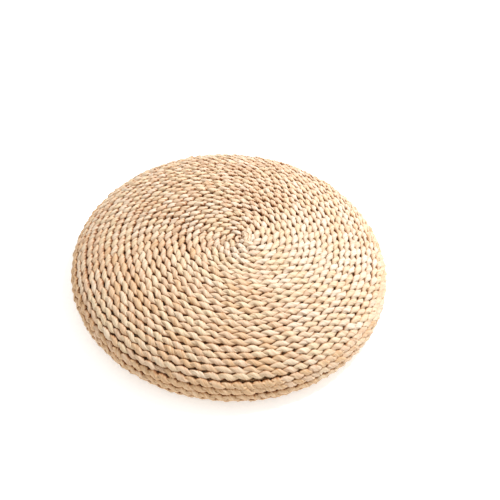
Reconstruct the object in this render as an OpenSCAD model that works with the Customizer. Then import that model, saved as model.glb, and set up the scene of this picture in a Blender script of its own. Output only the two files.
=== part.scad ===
// Round seat pad wound from twisted husk rope: a domed top, a side band and a flat underside,
// each a spiral of rope courses bound edge to edge around a lined filling.
// Origin at the middle of the underside, +Z up. Seen from above, every spiral runs
// counter-clockwise from the crown, out over the rim and back in to the middle underneath.

/* [Pad] */
// Diameter over the widest course of rope
pad_d = 400; // [360:5:440]
// Height of the crown above the seat
pad_h = 80; // [72:1:90]
// Height of the widest course above the seat
rim_h = 20; // [17:1:26]
// Squareness of the shoulder, where 2 is an ellipse
shoulder = 2.5; // [2.2:0.1:2.8]
// Width of the rounded corner between the widest course and the flat underside
corner_w = 34; // [30:1:42]
// Distance of the top's start from the pad's axis, towards +X
crown_shift = 10; // [0:1:12]

/* [Rope] */
// Spacing of neighbouring courses along the surface
course_pitch = 8; // [7.6:0.1:8.6]
// Slack between neighbouring courses
course_gap = 0.4; // [0.3:0.05:0.6]
// Depth of the flat that weight presses into the courses underneath
pressed = 0.3; // [0.2:0.05:0.5]
// Distance from the crown to the seam between the top and the side, along the surface
top_reach = 192; // [170:1:200]
// Extra opening between the courses at each seam
seam_gap = 1.2; // [0.8:0.1:1.6]
// Bearing at which the top's last course tapers out, from +X towards +Y
tail_bearing = 246; // [200:1:340]

/* [Thread] */
// Diameter of the thread that binds neighbouring courses
thread_d = 1.6; // [1.2:0.1:1.8]
// Diameter of the cord laced along each seam
lacing_d = 2.4; // [2:0.1:2.6]

/* [Inside] */
// Thickness of the liner cloth
liner_t = 1.2; // [0.8:0.1:2]
// Clearance between the layers
clearance = 0.4; // [0.3:0.05:0.8]

/* [Hidden] */
$fn = 48;

husk = "#e6cfa6";
pale_husk = "#efdcb8";
thread_colour = "#c9a877";
cotton = "#f1ede2";
fibre = "#d8c39a";

closest_pitch = course_pitch * (1 - 2 * crown_shift / pad_d);
rope_r = (closest_pitch - course_gap) / 2;
rope_swell = 0.1;
thread_swell = 0.05;
thread_r = thread_d / 2;
lacing_r = lacing_d / 2;

// The rope's centre line, seen in section: dome, rounded corner, then the flat underside.
reach = pad_d / 2 - rope_r;
crown_z = pad_h - rope_r;
flat_z = rope_r - pressed;
function dome(t) = [reach * pow(sin(90 * t), 2 / shoulder), rim_h + (crown_z - rim_h) * cos(90 * t)];
function corner(t) = [reach - corner_w * (1 - cos(90 * t)), rim_h - (rim_h - flat_z) * sin(90 * t)];
function underside(t) = [(reach - corner_w) * (1 - t), flat_z];
function section(t) = t < 1 ? dome(t) : t <= 2 ? corner(t - 1) : underside(t - 2);

// The same line measured by distance along it from the crown.
steps = 120;
last_step = 3 * steps;
section_points = [for (i = [0:last_step]) section(i / steps)];
step_lengths = [for (i = [1:last_step]) norm(section_points[i] - section_points[i - 1])];
function step_after(i) = i < last_step ? step_lengths[i] : 0;
distances = [for (i = 0, s = 0; i <= last_step; s = s + step_after(i), i = i + 1) s];
radius_table = [for (i = [0:last_step]) [distances[i], section_points[i][0]]];
height_table = [for (i = [0:last_step]) [distances[i], section_points[i][1]]];
line_length = distances[last_step];
corner_end = distances[2 * steps];
dome_table = [for (i = [0:steps]) [section_points[i][0], section_points[i][1]]];
function on_line(s) = [lookup(s, radius_table), lookup(s, height_table)];
function along(s) = on_line(s + 0.5) - on_line(s - 0.5);
function inward(s) = [along(s)[1], -along(s)[0]] / norm(along(s));
function inside_line(s, depth) = on_line(s) + depth * inward(s);

// On the dome the spiral is drawn round the shifted start, and keeps to the dome's height.
// "side" is 1 on the +X side of the axis and -1 on the other.
function dome_height(x) = lookup(abs(x), dome_table);
function shift_at(s) = s < distances[steps] ? crown_shift * (1 - on_line(s)[0] / reach) : 0;
function shifted(p, x) = [x, p[1] + dome_height(x) - dome_height(p[0])];
function station(s, depth, side) =
    let (p = inside_line(s, depth), shift = side * shift_at(s))
        shift == 0 ? p : shifted(p, p[0] + shift);

// The spirals advance by one half turn at a time. Even half turns start on the +X side.
// The angles leave room between one rope's end and the next one's start.
first_s = 8;
tail_space = 3;
base_space = 6;
thread_space = 20;
lacing_space = 10;
splice_space = 0.3;
knot_space = 0.2;
rope_s = line_length - 2 * first_s - 2 * seam_gap;
half_turns = round(rope_s / (course_pitch / 2));
advance = rope_s / half_turns;
top_turns = 2 * round((top_reach - first_s) / advance / 2) + 1;
side_turns = 2 * floor((corner_end - 2 * course_pitch - first_s) / advance / 2);
tail_angle = tail_bearing - 180;
function turn_s(turn, seams) = first_s + advance * turn + seam_gap * seams;
function turn_side(turn) = turn % 2 == 0 ? 1 : -1;

// Centres of the binding thread and of the lacing, in the groove behind two courses. The groove
// is shallower where the courses bend round the rim, so the thread is set back by that much more.
rim_bend = 0.5;
function groove_depth(r, opening) =
    sqrt(pow(rope_r + r + clearance, 2) - pow((course_pitch + opening) / 2, 2)) + rim_bend;
thread_depth = groove_depth(thread_r, 0);
lacing_depth = groove_depth(lacing_r, seam_gap);
liner_depth = max(thread_depth + thread_r, lacing_depth + lacing_r) + clearance;
filling_depth = liner_depth + liner_t + clearance;

// Places its children in the ring that half turn number "turn" follows, starting on its +X axis.
module on_half_turn(turn, a, b) {
    side = turn_side(turn);
    tilt = atan2(a[1] - b[1], a[0] + b[0]);
    translate([side * (a[0] - b[0]) / 2, 0, (a[1] + b[1]) / 2])
        rotate([0, -side * tilt, 0])
            rotate([0, 0, side > 0 ? 0 : 180])
                children();
}

function ring_radius(a, b) = norm([a[0] + b[0], a[1] - b[1]]) / 2;

// One half turn of rope or thread from a to b, drawn between two angles. A round splice at its end
// is fatter than the rope by "swell".
module half_turn(turn, a, b, r, swell, from, to) {
    ring = ring_radius(a, b);
    cut_back = asin(splice_space / ring);
    on_half_turn(turn, a, b) {
        rotate([0, 0, from + cut_back])
            rotate_extrude(angle = to - from - 2 * cut_back)
                translate([ring, 0])
                    circle(r);
        for (angle = from > 0 ? [from, to] : [to])
            rotate([0, 0, angle])
                translate([ring, 0, 0])
                    sphere(r + swell);
    }
}

// A spiral of rope from half turn "first" to half turn "last", beginning and ending part way round.
module rope_coil(first, last, seams, from = 0, to = 180) {
    for (turn = [first:last]) {
        begins = turn == first ? from : 0;
        ends = turn == last ? to : 180;
        a = station(turn_s(turn, seams), 0, turn_side(turn));
        b = station(turn_s(turn + 1, seams), 0, -turn_side(turn));
        half_turn(turn, a, b, rope_r, rope_swell, begins, ends);
    }
}

// A spiral of thread in the groove behind each pair of courses.
module groove_thread(first, last, seams, r, depth, from, to) {
    for (turn = [first:last]) {
        begins = turn == first ? from : 0;
        ends = turn == last ? to : 180;
        a = station(turn_s(turn + 1, seams), depth, turn_side(turn));
        b = station(turn_s(turn + 2, seams), depth, -turn_side(turn));
        half_turn(turn, a, b, r, thread_swell, begins, ends);
    }
}

// Outline of a cap of cloth or filling: the section line set back by "depth" at some of its steps.
// The base panel starts one of its strides past the top panel, which leaves the two apart.
top_stride = 3;
base_stride = 4;
top_steps = [for (i = [0:top_stride:steps]) i];
base_steps = concat([for (i = [steps + base_stride:base_stride:2 * steps]) i], [last_step]);
function set_back(at_steps, depth) = [
    for (i = at_steps)
        let (p = inside_line(distances[i], depth))
            [max(p[0], 0), p[1]]
];
function backwards(points) = [for (i = [len(points) - 1:-1:0]) points[i]];

// One panel of the liner, which follows the section line at two depths.
module liner_panel(at_steps) {
    outside = set_back(at_steps, liner_depth);
    inside = set_back(at_steps, liner_depth + liner_t);
    color(cotton)
        rotate_extrude()
            polygon(concat(outside, backwards(inside)));
}

module top_coil() {
    color(husk)
        rope_coil(0, top_turns, 0, to = tail_angle);
}

module side_coil() {
    color(husk)
        rope_coil(top_turns, side_turns - 1, 1, from = tail_angle + tail_space);
}

module base_coil() {
    color(husk)
        difference() {
            rope_coil(side_turns, half_turns - 1, 2, from = base_space);
            translate([-pad_d / 2, -pad_d / 2, -pad_h])
                cube([pad_d, pad_d, pad_h]);
        }
}

module top_start_knot() {
    color(pale_husk)
        translate([crown_shift, 0, dome_height(crown_shift)])
            sphere(rope_r - knot_space);
}

module base_start_knot() {
    color(pale_husk)
        translate([0, 0, rope_r])
            sphere(flat_z - knot_space);
}

module top_binding() {
    color(thread_colour)
        groove_thread(0, top_turns - 2, 0, thread_r, thread_depth, thread_space, tail_angle);
}

module side_binding() {
    color(thread_colour)
        groove_thread(
            top_turns + 1, side_turns - 3, 1, thread_r, thread_depth, thread_space, 180 - thread_space
        );
}

module base_binding() {
    color(thread_colour)
        groove_thread(
            side_turns, half_turns - 3, 2, thread_r, thread_depth, thread_space, 180 - thread_space
        );
}

module top_seam_lacing() {
    color(thread_colour)
        groove_thread(
            top_turns - 2, top_turns, 0.5, lacing_r, lacing_depth, tail_angle + lacing_space, tail_angle
        );
}

module base_seam_lacing() {
    color(thread_colour)
        groove_thread(
            side_turns - 2, side_turns - 1, 1.5, lacing_r, lacing_depth, lacing_space, 180 - lacing_space
        );
}

module liner_top() {
    liner_panel(top_steps);
}

module liner_base() {
    liner_panel(base_steps);
}

module filling() {
    color(fibre)
        rotate_extrude()
            polygon(set_back(concat(top_steps, base_steps), filling_depth));
}

top_coil();
side_coil();
base_coil();
top_start_knot();
base_start_knot();
top_binding();
side_binding();
base_binding();
top_seam_lacing();
base_seam_lacing();
liner_top();
liner_base();
filling();
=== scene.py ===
# Round seat pad of twisted husk rope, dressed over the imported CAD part. Metres, CAD frame, +Z up.
# Every rope is two rolled strands laid round each other, and follows the same spiral as its CAD coil.
import math

import bpy
import numpy as np
from mathutils import Matrix, Vector


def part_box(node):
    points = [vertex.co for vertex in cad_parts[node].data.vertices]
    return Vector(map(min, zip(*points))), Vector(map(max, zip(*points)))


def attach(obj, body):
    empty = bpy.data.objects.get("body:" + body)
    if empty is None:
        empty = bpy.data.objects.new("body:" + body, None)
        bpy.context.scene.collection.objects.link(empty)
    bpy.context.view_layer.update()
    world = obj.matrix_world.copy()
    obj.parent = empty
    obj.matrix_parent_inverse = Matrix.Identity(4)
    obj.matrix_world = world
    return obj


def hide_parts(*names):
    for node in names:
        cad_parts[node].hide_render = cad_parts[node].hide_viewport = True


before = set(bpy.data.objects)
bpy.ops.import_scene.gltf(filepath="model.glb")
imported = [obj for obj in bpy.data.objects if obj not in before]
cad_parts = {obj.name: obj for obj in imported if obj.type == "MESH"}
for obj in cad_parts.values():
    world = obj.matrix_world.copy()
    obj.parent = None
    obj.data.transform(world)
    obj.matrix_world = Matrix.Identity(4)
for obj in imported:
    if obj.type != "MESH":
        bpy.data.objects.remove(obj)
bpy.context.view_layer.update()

MM = 0.001
TAU = 2 * math.pi

# ---- the pad's section and spiral, as in the CAD part ----
ROPE_R = 3.6 * MM
PAD_R = (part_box("side_coil")[1].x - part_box("side_coil")[0].x) / 2
CROWN_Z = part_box("top_coil")[1].z - ROPE_R
REACH = PAD_R - ROPE_R
RIM_Z = 20 * MM
FLAT_Z = 3.3 * MM
CORNER_W = 34 * MM
SHOULDER = 2.5
CROWN_SHIFT = 10 * MM
FIRST_S = 8 * MM
ADVANCE = 4.0106 * MM
SEAM_GAP = 1.2 * MM

# Half turns along the one long spiral at which each rope starts and ends.
TOP_TURNS = 47
SIDE_TURNS = 58
ALL_TURNS = 100
TAIL = 66 / 180
TOP_END = TOP_TURNS + TAIL
SIDE_START = TOP_END + 3 / 180
BASE_START = SIDE_TURNS + 6 / 180

# Depths below the rope's centre line, as in the CAD part.
THREAD_R = 0.8 * MM
THREAD_DEPTH = 3.153 * MM
LACING_R = 1.2 * MM
LACING_DEPTH = 2.925 * MM
LINER_DEPTH = 4.525 * MM
FILLING_DEPTH = 6.125 * MM
LINER_PARTING = 4 * MM


def section_tables(count=900):
    """Distance along the section line from the crown, radius and height, then the rim and the dome."""
    t = np.linspace(0, 1, count)
    q = t * math.pi / 2
    dome = (REACH * np.sin(q) ** (2 / SHOULDER), RIM_Z + (CROWN_Z - RIM_Z) * np.cos(q))
    corner = (REACH - CORNER_W * (1 - np.cos(q)), RIM_Z - (RIM_Z - FLAT_Z) * np.sin(q))
    under = ((REACH - CORNER_W) * (1 - t), np.full(count, FLAT_Z))
    rho = np.concatenate([dome[0], corner[0][1:], under[0][1:]])
    z = np.concatenate([dome[1], corner[1][1:], under[1][1:]])
    s = np.concatenate([[0], np.cumsum(np.hypot(np.diff(rho), np.diff(z)))])
    return s, rho, z, s[count - 1], dome


S_TABLE, RHO_TABLE, Z_TABLE, RIM_S, DOME = section_tables()
LINE_LENGTH = S_TABLE[-1]
SAMPLES_PER_HALF_TURN = 180
SPARE_SAMPLES = 60
SMALL_STEP = 0.4 * MM
SMALL_TURN = 0.01


def surface(s, phi):
    """Point on the pad's skin at distance s along the section and bearing phi."""
    rho = np.interp(s, S_TABLE, RHO_TABLE)
    z = np.interp(s, S_TABLE, Z_TABLE)
    on_dome = s < RIM_S
    x = rho * np.cos(phi) + np.where(on_dome, CROWN_SHIFT * (1 - rho / REACH), 0)
    y = rho * np.sin(phi)
    z = np.where(on_dome, np.interp(np.hypot(x, y), DOME[0], DOME[1]), z)
    return np.stack([x, y, z], -1)


def unit(v):
    return v / np.maximum(np.linalg.norm(v, axis=-1, keepdims=True), 1e-12)


def eased(x):
    """Smooth step from 0 at 0 to 1 at 1."""
    x = np.clip(x, 0, 1)
    return x * x * (3 - 2 * x)


def smooth_noise(rng, at, spacing):
    """Smooth random curve between -1 and 1, with a new value every spacing."""
    values = rng.uniform(-1, 1, int(at.max() / spacing) + 3)
    x = at / spacing
    i = np.floor(x).astype(int)
    f = eased(x - i)
    return values[i] * (1 - f) + values[i + 1] * f


def held(values, x):
    """Each value held round its own whole number, with a soft change half way to the next."""
    i = np.floor(x).astype(int)
    f = eased((x - i - 0.3) / 0.4)
    i = np.clip(i, 0, len(values) - 2)
    return values[i] * (1 - f) + values[i + 1] * f


class Course:
    """A line that winds over the pad, at even steps, with the frame that its strands turn in."""

    def __init__(self, start, end, seams, step, depth=0.0, offset=0.0):
        samples = int(SAMPLES_PER_HALF_TURN * (end - start)) + SPARE_SAMPLES
        h = np.linspace(start, end, samples)
        s = FIRST_S + ADVANCE * (h + offset) + SEAM_GAP * seams
        p = surface(s, h * math.pi)
        length = np.concatenate([[0], np.cumsum(np.linalg.norm(np.diff(p, axis=0), axis=1))])
        self.total = length[-1]
        self.at = np.linspace(0, self.total, int(self.total / step) + 1)
        self.s = np.interp(self.at, length, s)
        self.phi = np.interp(self.at, length, h * math.pi)
        here = surface(self.s, self.phi)
        outward = surface(self.s + SMALL_STEP, self.phi) - surface(self.s - SMALL_STEP, self.phi)
        around = surface(self.s, self.phi + SMALL_TURN) - surface(self.s, self.phi - SMALL_TURN)
        self.n = unit(np.cross(outward, around))
        self.t = unit(np.gradient(here, axis=0))
        self.b = unit(np.cross(self.t, self.n))
        self.p = here - depth * self.n

    def place(self, u, w):
        """Points at u outwards and w up from the line."""
        return self.p + u[:, None] * self.b + w[:, None] * self.n

    def from_ends(self):
        return np.minimum(self.at, self.total - self.at)


# ---- meshes ----
def make_mesh(name, verts, faces_by_size, attributes, material):
    """Mesh object from arrays: faces_by_size is a list of index arrays, one row per face."""
    me = bpy.data.meshes.new(name)
    me.vertices.add(len(verts))
    me.vertices.foreach_set("co", verts.astype(np.float32).ravel())
    loops = np.concatenate([f.ravel() for f in faces_by_size])
    sizes = np.concatenate([np.full(len(f), f.shape[1]) for f in faces_by_size])
    me.loops.add(len(loops))
    me.loops.foreach_set("vertex_index", loops.astype(np.int32))
    me.polygons.add(len(sizes))
    starts = np.concatenate([[0], np.cumsum(sizes)[:-1]])
    me.polygons.foreach_set("loop_start", starts.astype(np.int32))
    me.polygons.foreach_set("loop_total", sizes.astype(np.int32))
    me.polygons.foreach_set("use_smooth", np.ones(len(sizes), bool))
    me.update(calc_edges=True)
    for key, value in attributes.items():
        if value.ndim == 2:
            layer = me.attributes.new(key, "FLOAT_VECTOR", "POINT")
            layer.data.foreach_set("vector", value.astype(np.float32).ravel())
        else:
            layer = me.attributes.new(key, "FLOAT", "POINT")
            layer.data.foreach_set("value", value.astype(np.float32))
    me.validate()
    obj = bpy.data.objects.new(name, me)
    bpy.context.scene.collection.objects.link(obj)
    obj.data.materials.append(material)
    return obj


def stacked(shape, *layers):
    """Values that vary along or round a tube, as one vector for each of its points."""
    return np.stack([np.broadcast_to(layer, shape) for layer in layers], -1).reshape(-1, len(layers))


def tube_faces(rings, sides):
    """Quads of a tube whose vertices are stored ring by ring, and the two round ends."""
    i = np.arange(rings - 1)[:, None] * sides
    j = np.arange(sides)[None, :]
    k = (j + 1) % sides
    quads = np.stack([i + j, i + k, i + k + sides, i + j + sides], -1).reshape(-1, 4)
    ends = np.stack([np.arange(sides)[::-1], (rings - 1) * sides + np.arange(sides)])
    return [quads, ends]


def stands_for(obj, node_name):
    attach(obj, "root")
    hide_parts(node_name)


# ---- materials ----
def new_material(name):
    m = bpy.data.materials.new(name)
    m.use_nodes = True
    nt = m.node_tree
    nt.nodes.clear()
    out = nt.nodes.new("ShaderNodeOutputMaterial")
    bsdf = nt.nodes.new("ShaderNodeBsdfPrincipled")
    nt.links.new(bsdf.outputs[0], out.inputs[0])
    return m, nt, bsdf


def attribute(nt, name, output):
    n = nt.nodes.new("ShaderNodeAttribute")
    n.attribute_name = name
    return n.outputs[output]


def math_node(nt, operation, a, b):
    n = nt.nodes.new("ShaderNodeMath")
    n.operation = operation
    for i, v in enumerate((a, b)):
        if isinstance(v, (int, float)):
            n.inputs[i].default_value = v
        else:
            nt.links.new(v, n.inputs[i])
    return n.outputs[0]


def span(nt, value, low, high, to_low=0.0, to_high=1.0):
    """Smooth ramp from to_low at low to to_high at high."""
    n = nt.nodes.new("ShaderNodeMapRange")
    n.interpolation_type = "SMOOTHSTEP"
    nt.links.new(value, n.inputs["Value"])
    for key, v in (("From Min", low), ("From Max", high), ("To Min", to_low), ("To Max", to_high)):
        n.inputs[key].default_value = v
    return n.outputs[0]


def mix(nt, factor, a, b):
    n = nt.nodes.new("ShaderNodeMix")
    n.data_type = "RGBA"
    for socket, v in ((n.inputs["Factor"], factor), (n.inputs[6], a), (n.inputs[7], b)):
        if isinstance(v, tuple):
            socket.default_value = (*v, 1)
        elif isinstance(v, (int, float)):
            socket.default_value = v
        else:
            nt.links.new(v, socket)
    return n.outputs[2]


def noise(nt, vector, scale, detail, roughness=0.55):
    n = nt.nodes.new("ShaderNodeTexNoise")
    nt.links.new(vector, n.inputs["Vector"])
    n.inputs["Scale"].default_value = scale
    n.inputs["Detail"].default_value = detail
    n.inputs["Roughness"].default_value = roughness
    return n.outputs["Fac"]


def stretched(nt, vector, x, y, z):
    n = nt.nodes.new("ShaderNodeVectorMath")
    n.operation = "MULTIPLY"
    nt.links.new(vector, n.inputs[0])
    n.inputs[1].default_value = (x, y, z)
    return n.outputs[0]


def bumped(nt, bsdf, height, strength, distance):
    bump = nt.nodes.new("ShaderNodeBump")
    bump.inputs["Strength"].default_value = strength
    bump.inputs["Distance"].default_value = distance
    nt.links.new(height, bump.inputs["Height"])
    nt.links.new(bump.outputs[0], bsdf.inputs["Normal"])


# Husk colours from the palest strand to the ripest, then straw, pale and tan marks; the tan, deepening to
# dark brown, is also painted shade down in the lay.
HUSK_SHADES = (
    (0.00, (0.72, 0.65, 0.535)),
    (0.35, (0.685, 0.555, 0.425)),
    (0.55, (0.67, 0.53, 0.345)),
    (0.80, (0.635, 0.445, 0.305)),
    (1.00, (0.59, 0.37, 0.19)),
)
STRAW = (0.64, 0.48, 0.27)
PALE = (0.92, 0.84, 0.68)
TAN_STAIN_AND_SHADE = (0.44, 0.195, 0.07)
SHADE_BROWN = (0.15, 0.045, 0.01)
# How far each rope's husks, and the knots', have ripened along those shades. The side's larger number is
# partly painted shade, a darker side wall.
RIPENESS_AND_SIDE_SHADE = {"top": 0.11, "side": 0.56, "base": 0.12, "knot": 0.06}

# The yarns and the calico are coloured browner, partly as painted shade for the grooves and gaps where they
# show.
BINDING_LIGHT = (0.52, 0.34, 0.17)
BINDING_DARK = (0.32, 0.17, 0.07)
LACING_LIGHT = (0.54, 0.35, 0.17)
LACING_DARK = (0.34, 0.18, 0.07)
CALICO_DARK = (0.30, 0.15, 0.06)
CALICO_LIGHT = (0.50, 0.31, 0.16)
FIBRE_DARK = (0.36, 0.24, 0.12)
FIBRE_LIGHT = (0.80, 0.66, 0.42)
FIBRE_TINT = (0.55, 0.41, 0.22)


def ramp(nt, value, stops):
    n = nt.nodes.new("ShaderNodeValToRGB")
    while len(n.color_ramp.elements) < len(stops):
        n.color_ramp.elements.new(0.5)
    for element, (place, colour) in zip(n.color_ramp.elements, stops):
        element.position = place
        element.color = (*colour, 1)
    nt.links.new(value, n.inputs[0])
    return n.outputs[0]


def husk_material(name, ripeness_and_shade):
    """Rolled husk: pale waxy skin with fibre streaks, tinted by strand, with painted shade, tan to dark
    brown, down in the lay.
    """
    m, nt, bsdf = new_material(name)
    strand = attribute(nt, "strand", "Vector")
    tone = attribute(nt, "tone", "Fac")
    painted_shade = attribute(nt, "painted_shade", "Fac")
    where = nt.nodes.new("ShaderNodeTexCoord").outputs["Object"]
    streaks = noise(nt, stretched(nt, strand, 60, 2.2, 2.2), scale=1.0, detail=3.0, roughness=0.6)
    fibres = noise(nt, stretched(nt, strand, 110, 7.0, 7.0), scale=1.0, detail=2.0, roughness=0.6)
    blotches = noise(nt, strand, scale=26.0, detail=2.0)
    patches = noise(nt, where, scale=16.0, detail=2.0)
    shade = math_node(nt, "MULTIPLY", math_node(nt, "ADD", tone, patches), 0.6)
    colour = ramp(nt, math_node(nt, "ADD", shade, ripeness_and_shade), HUSK_SHADES)
    colour = mix(nt, span(nt, blotches, 0.5, 0.72, 0, 0.5), colour, STRAW)
    colour = mix(nt, span(nt, streaks, 0.40, 0.66, 0.0, 0.5), colour, TAN_STAIN_AND_SHADE)
    colour = mix(nt, span(nt, fibres, 0.35, 0.65, 0.0, 0.26), colour, PALE)
    ragged = math_node(nt, "MULTIPLY", math_node(nt, "SUBTRACT", streaks, 0.5), 0.35)
    # Painted shade: tan, then dark brown, deeper down between the strands and courses.
    depth = math_node(nt, "ADD", painted_shade, ragged)
    colour = mix(nt, span(nt, depth, 0.3, 0.75, 0, 0.72), colour, TAN_STAIN_AND_SHADE)
    colour = mix(nt, span(nt, depth, 0.55, 0.95, 0, 0.97), colour, SHADE_BROWN)
    nt.links.new(colour, bsdf.inputs["Base Color"])
    nt.links.new(span(nt, streaks, 0.3, 0.75, 0.42, 0.62), bsdf.inputs["Roughness"])
    grain = math_node(nt, "ADD", streaks, math_node(nt, "MULTIPLY", fibres, 0.5))
    bumped(nt, bsdf, grain, strength=0.5, distance=0.4 * MM)
    bsdf.inputs["Specular IOR Level"].default_value = 0.2
    return m


def thread_material(name, light, dark):
    """Twisted yarn: fine fibres along it, with painted shade between its plies."""
    m, nt, bsdf = new_material(name)
    strand = attribute(nt, "strand", "Vector")
    painted_shade = attribute(nt, "painted_shade", "Fac")
    fibres = noise(nt, stretched(nt, strand, 300, 4.0, 4.0), scale=1.0, detail=3.0, roughness=0.65)
    colour = mix(nt, span(nt, fibres, 0.3, 0.7), light, dark)
    colour = mix(nt, span(nt, painted_shade, 0.3, 1.0, 0, 0.7), colour, TAN_STAIN_AND_SHADE)
    nt.links.new(colour, bsdf.inputs["Base Color"])
    bsdf.inputs["Roughness"].default_value = 0.85
    bsdf.inputs["Sheen Weight"].default_value = 0.2
    bumped(nt, bsdf, fibres, strength=0.5, distance=0.2 * MM)
    return m


def calico_material(name):
    """Plain-weave unbleached cotton, coloured dark brown as painted shade where it shows between the
    courses: two crossed sets of yarns, with seed flecks and slubs.
    """
    m, nt, bsdf = new_material(name)
    weave = attribute(nt, "weave", "Vector")
    yarns = []
    for direction in ("X", "Y"):
        wave = nt.nodes.new("ShaderNodeTexWave")
        wave.bands_direction = direction
        wave.inputs["Scale"].default_value = 360.0
        wave.inputs["Distortion"].default_value = 1.2
        wave.inputs["Detail"].default_value = 1.0
        nt.links.new(weave, wave.inputs["Vector"])
        yarns.append(wave.outputs["Fac"])
    cloth = math_node(nt, "MULTIPLY", yarns[0], yarns[1])
    slubs = noise(nt, stretched(nt, weave, 60, 900, 60), scale=1.0, detail=2.0)
    flecks = noise(nt, weave, scale=420.0, detail=2.0)
    colour = mix(nt, span(nt, cloth, 0.0, 0.8), CALICO_DARK, CALICO_LIGHT)
    colour = mix(nt, span(nt, slubs, 0.55, 0.75, 0, 0.35), colour, PALE)
    colour = mix(nt, span(nt, flecks, 0.70, 0.78, 0, 0.7), colour, TAN_STAIN_AND_SHADE)
    nt.links.new(colour, bsdf.inputs["Base Color"])
    bsdf.inputs["Roughness"].default_value = 0.9
    bsdf.inputs["Sheen Weight"].default_value = 0.25
    bumped(nt, bsdf, cloth, strength=0.4, distance=0.25 * MM)
    return m


def fibre_material(name):
    """Matted stuffing fibre: tangled light and dark strands."""
    m, nt, bsdf = new_material(name)
    where = nt.nodes.new("ShaderNodeTexCoord").outputs["Object"]
    tangle = noise(nt, stretched(nt, where, 900, 160, 900), scale=1.0, detail=4.0, roughness=0.7)
    across = noise(nt, stretched(nt, where, 160, 900, 900), scale=1.0, detail=4.0, roughness=0.7)
    lumps = noise(nt, where, scale=45.0, detail=3.0)
    both = math_node(nt, "MAXIMUM", tangle, across)
    colour = mix(nt, span(nt, both, 0.45, 0.75), FIBRE_DARK, FIBRE_LIGHT)
    colour = mix(nt, span(nt, lumps, 0.35, 0.7, 0, 0.4), colour, FIBRE_TINT)
    nt.links.new(colour, bsdf.inputs["Base Color"])
    bsdf.inputs["Roughness"].default_value = 0.95
    bsdf.inputs["Sheen Weight"].default_value = 0.3
    bumped(nt, bsdf, both, strength=0.8, distance=1.0 * MM)
    return m


# ---- rope ----
# How each rope is made. "lay" is the length of one full turn, in mm. Each strand swings sideways and
# lifts by so much, and both snake together twice a turn, so that the one on top crosses steeply.
# "thick" and "wide" are a strand's half sizes, and "drop" sets the rope back, all in mm. A positive
# "tilt" stands a course's inner edge over the course inside it. "square" is 1 for a strand with an
# elliptical section, and less for a fuller one. The last number is how much paler the strands are painted on
# the key-lit side: painted light.
STYLES = {
    "top": dict(lay=31.0, swing=1.65, lift=1.15, snake=1.05, thick=2.75, wide=3.05, drop=0.5,
                tilt=0.25, square=0.92, painted_light=0.5),
    "side": dict(lay=26.0, swing=1.8, lift=1.1, snake=1.3, thick=2.7, wide=3.6, drop=0.2,
                 tilt=-0.25, square=0.8, painted_light=1.0),
    "base": dict(lay=30.0, swing=2.0, lift=1.0, snake=0.7, thick=2.3, wide=3.0, drop=0.0,
                 tilt=0.1, square=0.9, painted_light=0.3),
}
STRAND_SIDES = 14
STRAND_STEP = 2.17 * MM
SEAT_LIP = 1.2 * MM
# Distance between the two strands' places in the husk's grain, in metres, so that they don't match.
STRAND_OFFSET = 7

# Smooth random change along a rope, as pairs of size and spacing.
UNEVEN_LAY = ((0.10, 50 * MM), (0.11, 24 * MM))
SWAY = ((0.4 * MM, 45 * MM), (0.35 * MM, 19 * MM))
HEAVE = ((0.35 * MM, 60 * MM), (0.25 * MM, 24 * MM))

# Random change from lobe to lobe. A lobe is one strand's stretch on top of the rope. Its middle comes a
# quarter of the way through a turn, and its head, where it is thickest, a little before that.
LOBE_SIZE = 0.14
LOBE_SWING = 0.18
LOBE_RISE = 0.4 * MM
LOBE_MIDDLE = 0.25
LOBE_HEAD = TAU * 0.22
HEAD_SIZE = 0.15

# Where the top's rope was pulled tight and where it lies loosest, and its loose stretch by the start.
TIGHT_BEARING = math.radians(250)
TIGHT_WIDTH = 1.1
LOOSE_BEARING = math.radians(160)
LOOSE_BIAS = 0.3
LOOSE_START = 14 * MM
LOOSE_START_FADE = 45 * MM

# What loose laying adds: lengths to the swing, lift and heave, and plain numbers to the rest. A tight
# strand is flattened, so it is broader.
# Where loose, the painted shade is deeper overall and at the sunk ends, and lighter at the rope's edges.
LOOSE = dict(lay=-0.20, snake=0.15, thick=-0.02, head=0.12, tone=-0.3, painted_shade=0.32, edge=-0.25, sunk=0.35,
             swing=1.05 * MM, lift=0.9 * MM, heave=-0.5 * MM)
TIGHT_BROADER = 0.15
# Loose strands swing less on the far side, towards +Y.
FAR_SWING = -0.5 * MM

# What nesting adds, where the strands line up with those of the courses on both sides.
NESTED = dict(swing=-0.3 * MM, lift=-0.15 * MM, snake=0.6)
ALTERNATING_SNAKE = 0.7

# What the side towards the key light, round +X, adds: a calmer snake, and lighter painted shade in the
# hollows as painted light.
LIT_SIDE_BEARING = math.radians(-8)
LIT_SIDE = dict(snake=-0.45, painted_shade=-0.44)

# A loose lobe's hidden end is pinched and sinks under the next one.
PINCH_ANGLE = math.radians(190)
PINCH_SPREAD = math.radians(32)
PINCH_SIZE = 0.3
PINCH_SINK = 0.9 * MM

# A rope's ends thin out and dive into the pad.
END_LENGTH = 28 * MM
END_SINK = 3.0 * MM
END_THINNING = 0.35

# Sideways pull beside the top's seam: where it is drawn closed, and at its one slack place.
SEAM_PULL = {"top": (0.6 * MM, -0.4 * MM), "side": (-0.9 * MM, 0.7 * MM)}
PULL_LENGTH = 5200 * MM
SLACK_LENGTH = 1150 * MM
SLACK_FADE = 150 * MM
SLACK_BEARING = math.radians(277)
SLACK_SPREAD = math.radians(13)

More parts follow.
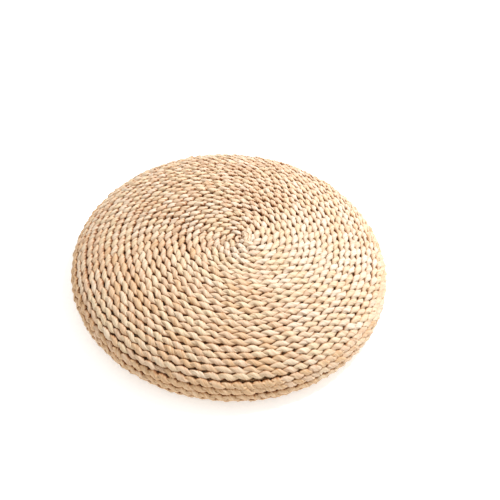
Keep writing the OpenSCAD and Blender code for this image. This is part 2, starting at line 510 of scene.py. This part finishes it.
# Folds round a rolled husk's section: how many, their size, and the spacing at which they drift.
FOLDS = ((2, 0.06, 60 * MM), (3, 0.07, 42 * MM), (5, 0.045, 34 * MM))
FOLD_DRIFT = 2.5
SKIN_ROUGHNESS = 0.02
CREASE_ANGLES = (-0.9, 0.8)
CREASE_DRIFT = 0.8
CREASE_DRIFT_SPACING = 45 * MM
CREASE_SPACING = 30 * MM
CREASE_WIDTH = 0.3
CREASE_DEPTH = 0.19

# Painted shade: how dark the skin is painted low down, at the rope's edges, where its strand is underneath,
# in creases and at a pinch. Each pair is where the darkness starts, and how much further on it is full.
PAINTED_SHADE_WEIGHTS = dict(low=0.52, edge=1.0, sunk=0.6, crease=0.42, pinch=0.7)
LOW_SPAN = (1.2 * MM, 3.4 * MM)
EDGE_SPAN = (2.2 * MM, 1.8 * MM)
SUNK_SPAN = (0.35, 0.65)


def bell(angle, middle, spread):
    """1 at the middle angle, fading to 0 on both sides of it."""
    off = (angle - middle + math.pi) % TAU - math.pi
    return np.exp(-((off / spread) ** 2))


def wander(rng, at, waves):
    """Sum of smooth random curves, given as pairs of size and spacing."""
    return sum(size * smooth_noise(rng, at, spacing) for size, spacing in waves)


def each_lobe(rng, low, high, phase):
    """A random value for every lobe of a strand, held from one lobe to the next."""
    return held(rng.uniform(low, high, int(phase.max()) + 4), phase + 1 - LOBE_MIDDLE)


def looseness(course):
    """0 where the winder pulled the rope tight, to 1 across from there and round the start."""
    across = eased((1 - np.cos(course.phi - TIGHT_BEARING)) / TIGHT_WIDTH)
    across = across * (1 - LOOSE_BIAS + LOOSE_BIAS * np.cos(course.phi - LOOSE_BEARING))
    near_start = 1 - eased((course.s - LOOSE_START) / LOOSE_START_FADE)
    return np.maximum(across, near_start)


def seam_pull(course, label):
    """Sideways pull on the courses at the top's seam: drawn together but for one slack place."""
    closed, opened = SEAM_PULL[label]
    from_seam = course.total - course.at if label == "top" else course.at
    shared_out = np.clip(1 - from_seam / PULL_LENGTH, 0, 1)
    beside_seam = 1 - eased((from_seam - SLACK_LENGTH) / SLACK_FADE)
    slack = bell(course.phi, SLACK_BEARING, SLACK_SPREAD)
    return closed * shared_out + (opened - closed) * slack * beside_seam


def nesting(course, turns):
    """1 where the strands line up with the ones in both neighbouring courses, to 0 where they alternate."""
    match = np.zeros(len(turns))
    for step in (-TAU, TAU):
        beside = np.interp(course.phi + step, course.phi, turns)
        match += 0.5 * np.cos(2 * TAU * (turns - beside))
    return 0.5 + 0.5 * match


def pressed_flat(verts):
    """Nothing goes below the seat: the last part above it is squeezed."""
    z = verts[..., 2]
    verts[..., 2] = np.where(z < SEAT_LIP, SEAT_LIP * np.exp((z - SEAT_LIP) / SEAT_LIP), z)


def squared(wave, power):
    """A wave from -1 to 1 that stays longer near its ends when power is less than 1."""
    return np.sign(wave) * np.abs(wave) ** power


def husk_folds(rng, at, alpha):
    """How far a rolled husk's skin stands out at each point, and how creased it is there."""
    fold = np.ones((len(at), len(alpha)))
    for waves, size, spacing in FOLDS:
        drift = FOLD_DRIFT * smooth_noise(rng, at, spacing) + rng.uniform(0, TAU)
        fold += size * np.cos(waves * alpha[None, :] + drift[:, None])
    fold += SKIN_ROUGHNESS * rng.uniform(-1, 1, fold.shape)
    crease = np.zeros(fold.shape)
    for angle in CREASE_ANGLES:
        line = angle + CREASE_DRIFT * smooth_noise(rng, at, CREASE_DRIFT_SPACING)
        depth = 0.5 + 0.5 * smooth_noise(rng, at, CREASE_SPACING)
        crease += bell(alpha[None, :], line[:, None], CREASE_WIDTH) * depth[:, None]
    return fold - CREASE_DEPTH * crease, crease


class Rope:
    """One coil of rope: what its two strands share along its course."""

    def __init__(self, label, start, end, seams, seed):
        self.label = label
        self.style = STYLES[label]
        self.course = course = Course(start, end, seams, STRAND_STEP, self.style["drop"] * MM)
        self.rng = rng = np.random.default_rng(seed)
        at = course.at
        uneven = 1 + wander(rng, at, UNEVEN_LAY)
        self.loose = loose = looseness(course) if label == "top" else np.zeros(len(at))
        lay = self.style["lay"] * MM * uneven * (1 + LOOSE["lay"] * loose)
        self.turns = np.concatenate([[0], np.cumsum(np.diff(at) / lay[1:])])
        self.sway = wander(rng, at, SWAY)
        self.heave = wander(rng, at, HEAVE) + LOOSE["heave"] * loose
        if label in SEAM_PULL:
            self.sway = self.sway + seam_pull(course, label)
        near_end = 1 - eased(course.from_ends() / END_LENGTH)
        self.thin = 1 - END_THINNING * near_end
        self.heave = self.heave - END_SINK * near_end
        # Weight of the side towards +X, where the key light falls: its strands are painted paler there, a
        # painted light.
        self.lit_side = lit_side = np.clip(np.cos(course.phi - LIT_SIDE_BEARING), 0, 1) ** 2
        nested = nesting(course, self.turns)
        far_side = loose * np.clip(np.sin(course.phi), 0, 1) ** 2
        snake = self.style["snake"] * MM * (ALTERNATING_SNAKE + NESTED["snake"] * nested)
        self.snake = snake * (1 + LOOSE["snake"] * loose + LIT_SIDE["snake"] * lit_side)
        self.lift = self.style["lift"] * MM + LOOSE["lift"] * loose + NESTED["lift"] * nested
        self.swing = self.style["swing"] * MM + LOOSE["swing"] * loose + NESTED["swing"] * nested
        self.swing = self.swing + FAR_SWING * far_side

    def add_strand(self, letter, half_turns_ahead):
        """One strand as a closed mesh, with its colour and the painted shade in its hollows."""
        course, style, rng, loose = self.course, self.style, self.rng, self.loose
        tilt = style["tilt"]
        phase = self.turns + 0.5 * half_turns_ahead
        angle = TAU * phase
        # Tone, 0 palest: random from lobe to lobe, paler where loose, and paler on the key-lit side as
        # painted light.
        tone = each_lobe(rng, 0, 1, phase) - style["painted_light"] * self.lit_side + LOOSE["tone"] * loose
        size = self.thin * (1 + LOBE_SIZE * each_lobe(rng, -1, 1, phase))
        swing = 1 + LOBE_SWING * each_lobe(rng, -1, 1, phase)
        rise = LOBE_RISE * each_lobe(rng, -1, 1, phase)
        pinch = loose * bell(angle, PINCH_ANGLE, PINCH_SPREAD)

        together = self.sway - self.snake * np.sin(2 * angle) * swing
        u = together - self.swing * np.cos(angle) * swing * self.thin
        w = self.lift * np.sin(angle) * self.thin + self.heave + rise
        w = w - tilt * (u - self.sway) - PINCH_SINK * pinch
        centre = course.place(u, w)
        along = unit(np.gradient(centre, axis=0))
        radial = (-np.cos(angle))[:, None] * course.b + np.sin(angle)[:, None] * course.n
        radial = unit(radial - (radial * along).sum(1)[:, None] * along)
        tangential = np.cross(along, radial)

        head = (HEAD_SIZE + LOOSE["head"] * loose) * np.cos(angle - LOBE_HEAD)
        size = size * (1 + head - PINCH_SIZE * pinch)
        thick = style["thick"] * MM * size * (1 + LOOSE["thick"] * loose)
        wide = style["wide"] * MM * size * (1 + TIGHT_BROADER * (1 - loose))
        alpha = np.arange(STRAND_SIDES) / STRAND_SIDES * TAU
        fold, crease = husk_folds(rng, course.at, alpha)
        across = thick[:, None] * squared(np.cos(alpha), style["square"]) * fold
        around = wide[:, None] * squared(np.sin(alpha), style["square"]) * fold
        verts = centre[:, None, :] + across[..., None] * radial[:, None, :]
        verts = verts + around[..., None] * tangential[:, None, :]
        painted_shade = self.painted_shade(verts, together, angle, crease, pinch)
        pressed_flat(verts)
        place = (course.at + STRAND_OFFSET * half_turns_ahead)[:, None]
        attributes = {
            "strand": stacked(fold.shape, place, np.cos(alpha), np.sin(alpha)),
            "tone": np.broadcast_to(tone[:, None], fold.shape).ravel(),
            "painted_shade": painted_shade.ravel(),
        }
        faces = tube_faces(len(course.at), STRAND_SIDES)
        name = f"{self.label}_ply_{letter}"
        obj = make_mesh(name, verts.reshape(-1, 3), faces, attributes, HUSK[self.label])
        stands_for(obj, f"{self.label}_coil")

    def painted_shade(self, verts, together, angle, crease, pinch):
        """Painted shade: 0 on the strand's open skin, to 1 down between the strands and courses."""
        course, loose = self.course, self.loose
        local = verts - course.p[:, None, :]
        out = (local * course.b[:, None, :]).sum(-1) - together[:, None]
        high = (local * course.n[:, None, :]).sum(-1) + self.style["tilt"] * out - self.heave[:, None]
        low = np.clip((LOW_SPAN[0] - high) / LOW_SPAN[1], 0, 1)
        edge = np.clip((np.abs(out) - EDGE_SPAN[0]) / EDGE_SPAN[1], 0, 1)
        edge = edge * (1 + LOOSE["edge"] * loose)[:, None]
        sunk = np.clip((LOOSE["sunk"] * loose - np.sin(angle) - SUNK_SPAN[0]) / SUNK_SPAN[1], 0, 1)[:, None]
        painted_shade = PAINTED_SHADE_WEIGHTS["low"] * low + PAINTED_SHADE_WEIGHTS["edge"] * edge + PAINTED_SHADE_WEIGHTS["sunk"] * sunk
        painted_shade = painted_shade + PAINTED_SHADE_WEIGHTS["crease"] * crease + PAINTED_SHADE_WEIGHTS["pinch"] * pinch[:, None]
        return np.clip(painted_shade * (1 + LOOSE["painted_shade"] * loose + LIT_SIDE["painted_shade"] * self.lit_side)[:, None], 0, 1)


def add_rope(label, start, end, seams, seed):
    """Two strands laid round each other along one coil."""
    rope = Rope(label, start, end, seams, seed)
    for half_turns_ahead, letter in enumerate("ab"):
        rope.add_strand(letter, half_turns_ahead)


# ---- threads in the grooves ----
THREAD_SIDES = 7
THREAD_STEP = 2.0 * MM
TWIST_RADII = 7
PLY_WAIST = 0.74
YARN_UNEVEN = ((0.05, 9 * MM),)
YARN_SWAY = ((0.12 * MM, 15 * MM),)

# Half turns between a thread's end and the rope's.
THREAD_SPACE = 20 / 180
LACING_SPACE = 10 / 180


def add_thread(name, first, last, seams, radius, depth, material, seed):
    """Two-ply yarn in the groove behind each pair of courses, from half turn first to last."""
    course = Course(first, last, seams, THREAD_STEP, depth, offset=1)
    at = course.at
    rng = np.random.default_rng(seed)
    alpha = np.arange(THREAD_SIDES) / THREAD_SIDES * TAU
    twist = TAU * at / (TWIST_RADII * radius)
    bulge = np.abs(np.cos(alpha[None, :] - twist[:, None]))
    uneven = 1 + wander(rng, at, YARN_UNEVEN)
    size = radius * (PLY_WAIST + (1 - PLY_WAIST) * bulge) * uneven[:, None]
    centre = course.place(wander(rng, at, YARN_SWAY), np.zeros(len(at)))
    across = (size * np.cos(alpha))[..., None] * course.b[:, None, :]
    around = (size * np.sin(alpha))[..., None] * course.n[:, None, :]
    verts = centre[:, None, :] + across + around
    attributes = {
        "strand": stacked(size.shape, at[:, None], np.cos(alpha), bulge),
        # Painted shade between the plies.
        "painted_shade": (1 - bulge).ravel(),
    }
    faces = tube_faces(len(at), THREAD_SIDES)
    obj = make_mesh(f"{name}_yarn", verts.reshape(-1, 3), faces, attributes, material)
    stands_for(obj, name)


# ---- the ropes' starts ----
CURL_RINGS = 60
CURL_SIDES = 12
CURL_BEARING = -0.6 * math.pi
CURL_SIZE = 2.5 * MM
CURL_END_R = 0.3 * MM
CURL_RISE = 1.6 * MM
CURL_DIVE = 3.6 * MM
CURL_TAPER = 0.5
CURL_FLATNESS = 0.85
CURL_UNEVEN = ((0.12, 0.2),)
CURL_FOLDS = 3
CURL_FOLD_SIZE = 0.10
CURL_ROUGHNESS = 0.04
# Share of the curl after which it turns down.
CURL_TURNS_DOWN = 0.6
# A curl on the underside is shallower, and turned over.
UNDERSIDE_SHARE = -0.25


def add_curl(name, node_name, middle, turns_in, reach, flat, seed):
    """Start of a rope: one rolled husk that winds in to the middle and dives into it."""
    rng = np.random.default_rng(seed)
    f = np.linspace(0, 1, CURL_RINGS)
    angle = CURL_BEARING - TAU * turns_in * f
    r = reach * (1 - f) ** 0.8 + CURL_END_R
    rise = CURL_RISE * np.sin(math.pi * np.clip(f / CURL_TURNS_DOWN, 0, 1))
    rise = rise - CURL_DIVE * eased((f - CURL_TURNS_DOWN) / (1 - CURL_TURNS_DOWN))
    if flat:
        rise = rise * UNDERSIDE_SHARE
    centre = np.stack([r * np.cos(angle), r * np.sin(angle), rise], -1) + np.array(middle)
    along = unit(np.gradient(centre, axis=0))
    side = unit(np.cross(along, np.array([0, 0, 1.0])))
    over = np.cross(side, along)
    alpha = np.arange(CURL_SIDES) / CURL_SIDES * TAU
    size = CURL_SIZE * (1 - CURL_TAPER * f) * (1 + wander(rng, f, CURL_UNEVEN))
    fold = 1 + CURL_FOLD_SIZE * np.cos(CURL_FOLDS * alpha[None, :] + 4 * f[:, None])
    fold = fold + CURL_ROUGHNESS * rng.uniform(-1, 1, (CURL_RINGS, CURL_SIDES))
    across = size[:, None] * fold * np.cos(alpha)
    around = CURL_FLATNESS * size[:, None] * fold * np.sin(alpha)
    verts = centre[:, None, :] + across[..., None] * side[:, None, :] + around[..., None] * over[:, None, :]
    if flat:
        pressed_flat(verts)
    # Painted shade: darker on the curl's underside, and more towards its end, where it dives in.
    painted_shade = np.clip(0.66 - 0.55 * np.sin(alpha)[None, :] + 0.35 * f[:, None] ** 2, 0, 1)
    attributes = {
        "strand": stacked(fold.shape, (0.1 * f)[:, None], np.cos(alpha), np.sin(alpha)),
        "tone": np.broadcast_to((0.8 + 0.2 * f)[:, None], fold.shape).ravel(),
        "painted_shade": painted_shade.ravel(),
    }
    faces = tube_faces(CURL_RINGS, CURL_SIDES)
    obj = make_mesh(name, verts.reshape(-1, 3), faces, attributes, HUSK["knot"])
    stands_for(obj, node_name)


FLAP_ROWS = 44
FLAP_COLUMNS = 26
FLAP_R = 9.4 * MM
FLAP_HALF_W = 5.2 * MM
FLAP_THICKNESS = 1.3 * MM
FLAP_RISE = 5.3 * MM
FLAP_START = math.radians(-58)
FLAP_TURN = math.radians(136)
FLAP_TONE = 0.1
FLAP_CRUMPLE = 0.28 * MM
# Pleats along the flap: radians of each wave from the flap's middle to its side, size in mm and phase.
PLEATS = ((5.0, 0.35, 0.4), (11.0, 0.30, 2.0), (19.0, 0.22, 4.1))


def add_flap(name, node_name, seed):
    """Butt end of the first husk, fanned out flat and tucked between the first courses."""
    rng = np.random.default_rng(seed)
    f = np.linspace(0, 1, FLAP_ROWS)[:, None]
    g = np.linspace(-1, 1, FLAP_COLUMNS)[None, :]
    towards_end = np.abs(2 * f - 1) ** 3
    bearing = FLAP_START + FLAP_TURN * f
    r = FLAP_R + g * FLAP_HALF_W * np.sqrt(np.clip(1 - towards_end, 0.03, 1))
    x = CROWN_SHIFT + r * np.cos(bearing)
    y = r * np.sin(bearing)
    skin = np.interp(np.hypot(x, y), DOME[0], DOME[1])
    folds = sum(
        size * MM * np.sin(waves * g + 3 * np.sin(2.2 * f + phase) + phase)
        for waves, size, phase in PLEATS
    )
    folds = folds + 0.25 * MM * np.sin(15 * f + 5 * g) * np.sin(6 * f - 3 * g)
    crumple = FLAP_CRUMPLE * rng.uniform(-1, 1, (FLAP_ROWS, FLAP_COLUMNS))
    arch = FLAP_RISE * (1 - 0.22 * g**2) * (1 - 0.5 * towards_end)
    z = skin + arch + folds + crumple
    upper = np.stack([x, y, z], -1).reshape(-1, 3)
    lower = np.stack([x, y, z - FLAP_THICKNESS], -1).reshape(-1, 3)
    grid = np.arange(FLAP_ROWS * FLAP_COLUMNS).reshape(FLAP_ROWS, FLAP_COLUMNS)
    quads = np.stack([grid[:-1, :-1], grid[1:, :-1], grid[1:, 1:], grid[:-1, 1:]], -1).reshape(-1, 4)
    rim = np.concatenate([grid[0, :], grid[1:, -1], grid[-1, -2::-1], grid[-2:0:-1, 0]])
    after = np.roll(rim, -1)
    below = grid.size
    walls = np.stack([rim, after, after + below, rim + below], -1)
    faces = [np.concatenate([quads[:, ::-1], quads + below, walls])]
    strand = stacked(z.shape, 0.05 * f, 1.6 * g, 0.0)
    # Painted shade in the pleats' troughs and along the flap's two sides.
    painted_shade = np.clip(0.2 - 0.8 * folds / MM + 0.45 * np.abs(g) ** 4, 0, 0.85).ravel()
    attributes = {
        "strand": np.concatenate([strand, strand]),
        "tone": np.full(2 * below, FLAP_TONE),
        "painted_shade": np.concatenate([painted_shade, painted_shade]),
    }
    obj = make_mesh(name, np.concatenate([upper, lower]), faces, attributes, HUSK["knot"])
    stands_for(obj, node_name)


# ---- liner and filling ----
NORMAL_STEP = 0.5 * MM
LINER_RINGS = 70
LINER_AROUND = 220
CLOTH_THICKNESS = 0.8 * MM
CLOTH_DROP = 0.45 * MM
WRINKLE_SIZE = 0.7 * MM
# Puckers round a panel's edge: how many, and their size.
PUCKERS = ((31, 0.22), (47, 0.18), (73, 0.12))

FILLING_RINGS = 90
FILLING_AROUND = 160
SWELL_ROOM = 3.0 * MM
SWELL_CAP = 2.4 * MM
VOXEL = 6 * MM
PRESSURE = 4
CLOTH_MASS = 0.3
SWELL_FRAMES = 20
# Lumps in the filling: size in mm and rough closeness in radians a metre, and the most they add up to.
LUMPS = ((0.3, 90), (0.3, 140), (0.25, 210), (0.2, 320), (0.15, 480))
LUMP_CAP = 0.4


def section_normal(s):
    """Direction straight out of the pad at distance s along the section, as radius and height."""
    before, after = s - NORMAL_STEP, s + NORMAL_STEP
    d_rho = np.interp(after, S_TABLE, RHO_TABLE) - np.interp(before, S_TABLE, RHO_TABLE)
    d_z = np.interp(after, S_TABLE, Z_TABLE) - np.interp(before, S_TABLE, Z_TABLE)
    size = np.hypot(d_rho, d_z)
    return -d_z / size, d_rho / size


def lined(s, phi, depth):
    """Point at a depth inside the pad's skin, round the pad's own axis."""
    n_rho, n_z = section_normal(s)
    rho = np.maximum(np.interp(s, S_TABLE, RHO_TABLE) - depth * n_rho, 0)
    z = np.interp(s, S_TABLE, Z_TABLE) - depth * n_z
    return np.stack(np.broadcast_arrays(rho * np.cos(phi), rho * np.sin(phi), z), -1)


def disc_faces(rings, around, flip):
    """Rings of a disc whose first vertex is its middle."""
    j = np.arange(around)
    k = (j + 1) % around
    fan = np.stack([np.zeros(around, int), 1 + j, 1 + k], -1)
    i = 1 + np.arange(rings - 1)[:, None] * around
    quads = np.stack([i + j, i + around + j, i + around + k, i + k], -1).reshape(-1, 4)
    return (fan[:, ::-1], quads[:, ::-1]) if flip else (fan, quads)


def add_liner(name, s_edge, s_middle, seed):
    """One round panel of calico, drawn over the filling and puckered round its edge."""
    rng = np.random.default_rng(seed)
    s = np.linspace(s_middle, s_edge, LINER_RINGS + 1)[1:, None]
    phi = np.linspace(0, TAU, LINER_AROUND, endpoint=False)[None, :]
    reach = np.abs(s - s_middle) / abs(s_edge - s_middle)
    pucker = sum(
        size * np.sin(waves * phi + rng.uniform(0, TAU) + 1.5 * np.sin(3 * phi + 4 * reach))
        for waves, size in PUCKERS
    )
    slack = 0.25 * np.sin(5 * phi + 9 * reach) + 0.2 * np.sin(9 * phi - 14 * reach)
    middle_depth = LINER_DEPTH + CLOTH_DROP
    depth = middle_depth + WRINKLE_SIZE * (pucker * reach**3 + slack * (1 - reach**2) * reach)
    verts = []
    for extra in (0.0, CLOTH_THICKNESS):
        middle = lined(np.array([s_middle]), 0.0, middle_depth + extra)
        verts += [middle, lined(s, phi, depth + extra).reshape(-1, 3)]
    verts = np.concatenate(verts)
    from_middle = np.abs(s - s_middle)
    flat = stacked(depth.shape, from_middle * np.cos(phi), from_middle * np.sin(phi), 0.0)
    weave = np.concatenate([np.zeros((1, 3)), flat])
    half = len(weave)
    flip = s_middle > s_edge
    outer_fan, outer_quads = disc_faces(LINER_RINGS, LINER_AROUND, flip)
    inner_fan, inner_quads = disc_faces(LINER_RINGS, LINER_AROUND, not flip)
    last = 1 + (LINER_RINGS - 1) * LINER_AROUND + np.arange(LINER_AROUND)
    after = np.roll(last, -1)
    hem = np.stack([last, last + half, after + half, after], -1)
    quads = np.concatenate([outer_quads, inner_quads + half, hem[:, ::-1] if flip else hem])
    fans = np.concatenate([outer_fan, inner_fan + half])
    attributes = {"weave": np.concatenate([weave, weave])}
    obj = make_mesh(f"{name}_calico", verts, [quads, fans], attributes, CALICO)
    stands_for(obj, name)


def add_filling(seed):
    """Matted fibre that fills the liner: swollen by the cloth solver, then lumpy."""
    rng = np.random.default_rng(seed)
    s = np.linspace(0, LINE_LENGTH, FILLING_RINGS + 2)[1:-1, None]
    phi = np.linspace(0, TAU, FILLING_AROUND, endpoint=False)[None, :]
    depth = FILLING_DEPTH + SWELL_ROOM
    skin = lined(s, phi, depth).reshape(-1, 3)
    crown, base = lined(np.array([0.0, LINE_LENGTH]), 0.0, depth)
    verts = np.concatenate([[crown], skin, [base]])
    fan, quads = disc_faces(FILLING_RINGS, FILLING_AROUND, False)
    last = 1 + (FILLING_RINGS - 1) * FILLING_AROUND + np.arange(FILLING_AROUND)
    under = np.stack([last, np.full(FILLING_AROUND, len(verts) - 1), np.roll(last, -1)], -1)
    obj = make_mesh("filling_pad", verts, [quads, np.concatenate([fan, under])], {}, FIBRE)
    swell(obj)
    co = read_vectors(obj.data.vertices, "co")
    normals = read_vectors(obj.data.vertex_normals, "vector")
    lumps = sum(
        size * np.sin(co @ rng.normal(0, waves, 3) + rng.uniform(0, TAU))
        for size, waves in LUMPS
    )
    co += normals * (MM * np.minimum(lumps, LUMP_CAP))[:, None]
    obj.data.vertices.foreach_set("co", co.astype(np.float32).ravel())
    obj.data.update()
    stands_for(obj, "filling")


def read_vectors(items, key):
    values = np.empty(3 * len(items), np.float32)
    items.foreach_get(key, values)
    return values.reshape(-1, 3).astype(float)


def swell(obj):
    """Cloth under pressure, with each point's move held to the cap."""
    remesh = obj.modifiers.new("even", "REMESH")
    remesh.mode = "VOXEL"
    remesh.voxel_size = VOXEL
    apply_modifiers(obj)
    before = [v.co.copy() for v in obj.data.vertices]
    cloth = obj.modifiers.new("cloth", "CLOTH")
    cloth.settings.use_pressure = True
    cloth.settings.uniform_pressure_force = PRESSURE
    cloth.settings.effector_weights.gravity = 0
    cloth.settings.mass = CLOTH_MASS
    scene = bpy.context.scene
    cloth.point_cache.frame_start = 1
    cloth.point_cache.frame_end = SWELL_FRAMES
    for number in range(1, SWELL_FRAMES + 1):
        scene.frame_set(number)
    apply_modifiers(obj)
    scene.frame_set(1)
    for vertex, start in zip(obj.data.vertices, before):
        move = vertex.co - start
        if move.length > SWELL_CAP:
            vertex.co = start + move * (SWELL_CAP / move.length)
    smooth = obj.modifiers.new("smooth", "SUBSURF")
    smooth.levels = 1
    smooth.render_levels = 1
    apply_modifiers(obj)
    obj.data.polygons.foreach_set("use_smooth", [True] * len(obj.data.polygons))


def apply_modifiers(obj):
    evaluated = obj.evaluated_get(bpy.context.evaluated_depsgraph_get())
    mesh = bpy.data.meshes.new_from_object(evaluated)
    obj.modifiers.clear()
    old = obj.data
    obj.data = mesh
    bpy.data.meshes.remove(old)


# ---- the pad ----
HUSK = {label: husk_material(f"husk_{label}", ripeness_and_shade) for label, ripeness_and_shade in RIPENESS_AND_SIDE_SHADE.items()}
BINDING = thread_material("binding_yarn", BINDING_LIGHT, BINDING_DARK)
LACING = thread_material("lacing_yarn", LACING_LIGHT, LACING_DARK)
CALICO = calico_material("calico")
FIBRE = fibre_material("stuffing")

# Half turns by which the ropes run on past their coils in the CAD part: a little at every seam, and
# more at the first and the last end, which run in under the curls.
OVERLAP = 0.022
UNDER_TOP_CURL = 1.3
UNDER_BASE_CURL = 0.9
CURL_DROP = 1.8 * MM
add_rope("top", -UNDER_TOP_CURL, TOP_END + OVERLAP, seams=0, seed=11)
add_rope("side", SIDE_START - OVERLAP, SIDE_TURNS + OVERLAP, seams=1, seed=12)
add_rope("base", BASE_START - OVERLAP, ALL_TURNS + UNDER_BASE_CURL, seams=2, seed=13)
add_curl("start_curl", "top_start_knot", (CROWN_SHIFT, 0, CROWN_Z - CURL_DROP),
         turns_in=1.25, reach=4.6 * MM, flat=False, seed=21)
add_flap("start_flap", "top_start_knot", seed=22)
add_curl("base_curl", "base_start_knot", (0, 0, FLAT_Z),
         turns_in=1.1, reach=3.6 * MM, flat=True, seed=23)
for name, first, last, seams, seed in (
    ("top_binding", THREAD_SPACE, TOP_TURNS - 2 + TAIL, 0, 31),
    ("side_binding", TOP_TURNS + 1 + THREAD_SPACE, SIDE_TURNS - 2 - THREAD_SPACE, 1, 32),
    ("base_binding", SIDE_TURNS + THREAD_SPACE, ALL_TURNS - 2 - THREAD_SPACE, 2, 33),
):
    add_thread(name, first, last, seams, THREAD_R, THREAD_DEPTH, BINDING, seed)
for name, first, last, seams, seed in (
    ("top_seam_lacing", TOP_TURNS - 2 + TAIL + LACING_SPACE, TOP_TURNS + TAIL, 0.5, 34),
    ("base_seam_lacing", SIDE_TURNS - 2 + LACING_SPACE, SIDE_TURNS - LACING_SPACE, 1.5, 35),
):
    add_thread(name, first, last, seams, LACING_R, LACING_DEPTH, LACING, seed)
add_filling(seed=41)
LINER_EDGE = RIM_S + LINER_PARTING
add_liner("liner_top", RIM_S, 0.0, seed=42)
add_liner("liner_base", LINER_EDGE, LINE_LENGTH, seed=43)


# ---- floor, lights, camera ----
FLOOR_HALF = 40.0
CAMERA_ELEVATION = math.radians(49.52)
CAMERA_ROLL = math.radians(3.15)
CAMERA_DISTANCE = 1.4
CAMERA_AIM = (26.605 * MM, 36.808 * MM)
LENS_MM = 78.048
SENSOR_MM = 36
FLOOR_COLOUR = (0.92, 0.95, 0.98)
FLOOR_GLOW_COLOUR = (0.95, 0.99, 1)
FLOOR_GLOW = 0.42
SKY_COLOUR = (1.0, 0.95, 0.89)
SKY_STRENGTH = 0.80
KEY_PLACE = (1.0, 0.85, 2.1)
KEY_TARGET = (0, 0, 0.04)
KEY_SIZE = 0.45
KEY_POWER = 75
KEY_COLOUR = (0.91, 0.95, 1.0)


def set_stage():
    me = bpy.data.meshes.new("floor")
    corners = [(x * FLOOR_HALF, y * FLOOR_HALF, 0) for x, y in ((-1, -1), (1, -1), (1, 1), (-1, 1))]
    me.from_pydata(corners, [], [(0, 1, 2, 3)])
    floor = bpy.data.objects.new("floor", me)
    bpy.context.scene.collection.objects.link(floor)
    m, nt, bsdf = new_material("pale_floor")
    bsdf.inputs["Base Color"].default_value = (*FLOOR_COLOUR, 1)
    bsdf.inputs["Emission Color"].default_value = (*FLOOR_GLOW_COLOUR, 1)
    bsdf.inputs["Emission Strength"].default_value = FLOOR_GLOW
    bsdf.inputs["Roughness"].default_value = 0.9
    bsdf.inputs["Specular IOR Level"].default_value = 0.1
    floor.data.materials.append(m)


def area_light(name, place, target, size, power, colour):
    data = bpy.data.lights.new(name, "AREA")
    data.shape = "DISK"
    data.size = size
    data.energy = power
    data.color = colour
    light = bpy.data.objects.new(name, data)
    light.location = place
    light.rotation_euler = (Vector(target) - Vector(place)).to_track_quat("-Z", "Y").to_euler()
    bpy.context.scene.collection.objects.link(light)


def set_lights():
    world = bpy.data.worlds.new("studio")
    bpy.context.scene.world = world
    world.use_nodes = True
    sky = world.node_tree.nodes["Background"]
    sky.inputs["Color"].default_value = (*SKY_COLOUR, 1)
    sky.inputs["Strength"].default_value = SKY_STRENGTH
    area_light("key", KEY_PLACE, KEY_TARGET, KEY_SIZE, KEY_POWER, KEY_COLOUR)


def set_camera():
    """Camera that looks down at the pad from the front, rolled a little, and aimed right of and above it."""
    back = Vector((0, -math.cos(CAMERA_ELEVATION), math.sin(CAMERA_ELEVATION)))
    level = Vector((1, 0, 0))
    upright = back.cross(level)
    right = level * math.cos(CAMERA_ROLL) + upright * math.sin(CAMERA_ROLL)
    up = upright * math.cos(CAMERA_ROLL) - level * math.sin(CAMERA_ROLL)
    place = back * CAMERA_DISTANCE
    target = right * CAMERA_AIM[0] + up * CAMERA_AIM[1]
    ahead = (target - place).normalized()
    side = ahead.cross(up).normalized()
    top = side.cross(ahead)
    data = bpy.data.cameras.new("camera")
    data.sensor_width = SENSOR_MM
    data.lens = LENS_MM
    cam = bpy.data.objects.new("camera", data)
    turn = Matrix((side, top, -ahead)).transposed()
    cam.matrix_world = Matrix.Translation(place) @ turn.to_4x4()
    bpy.context.scene.collection.objects.link(cam)
    bpy.context.scene.camera = cam


set_stage()
set_lights()
set_camera()
bpy.context.scene.view_settings.view_transform = "Standard"
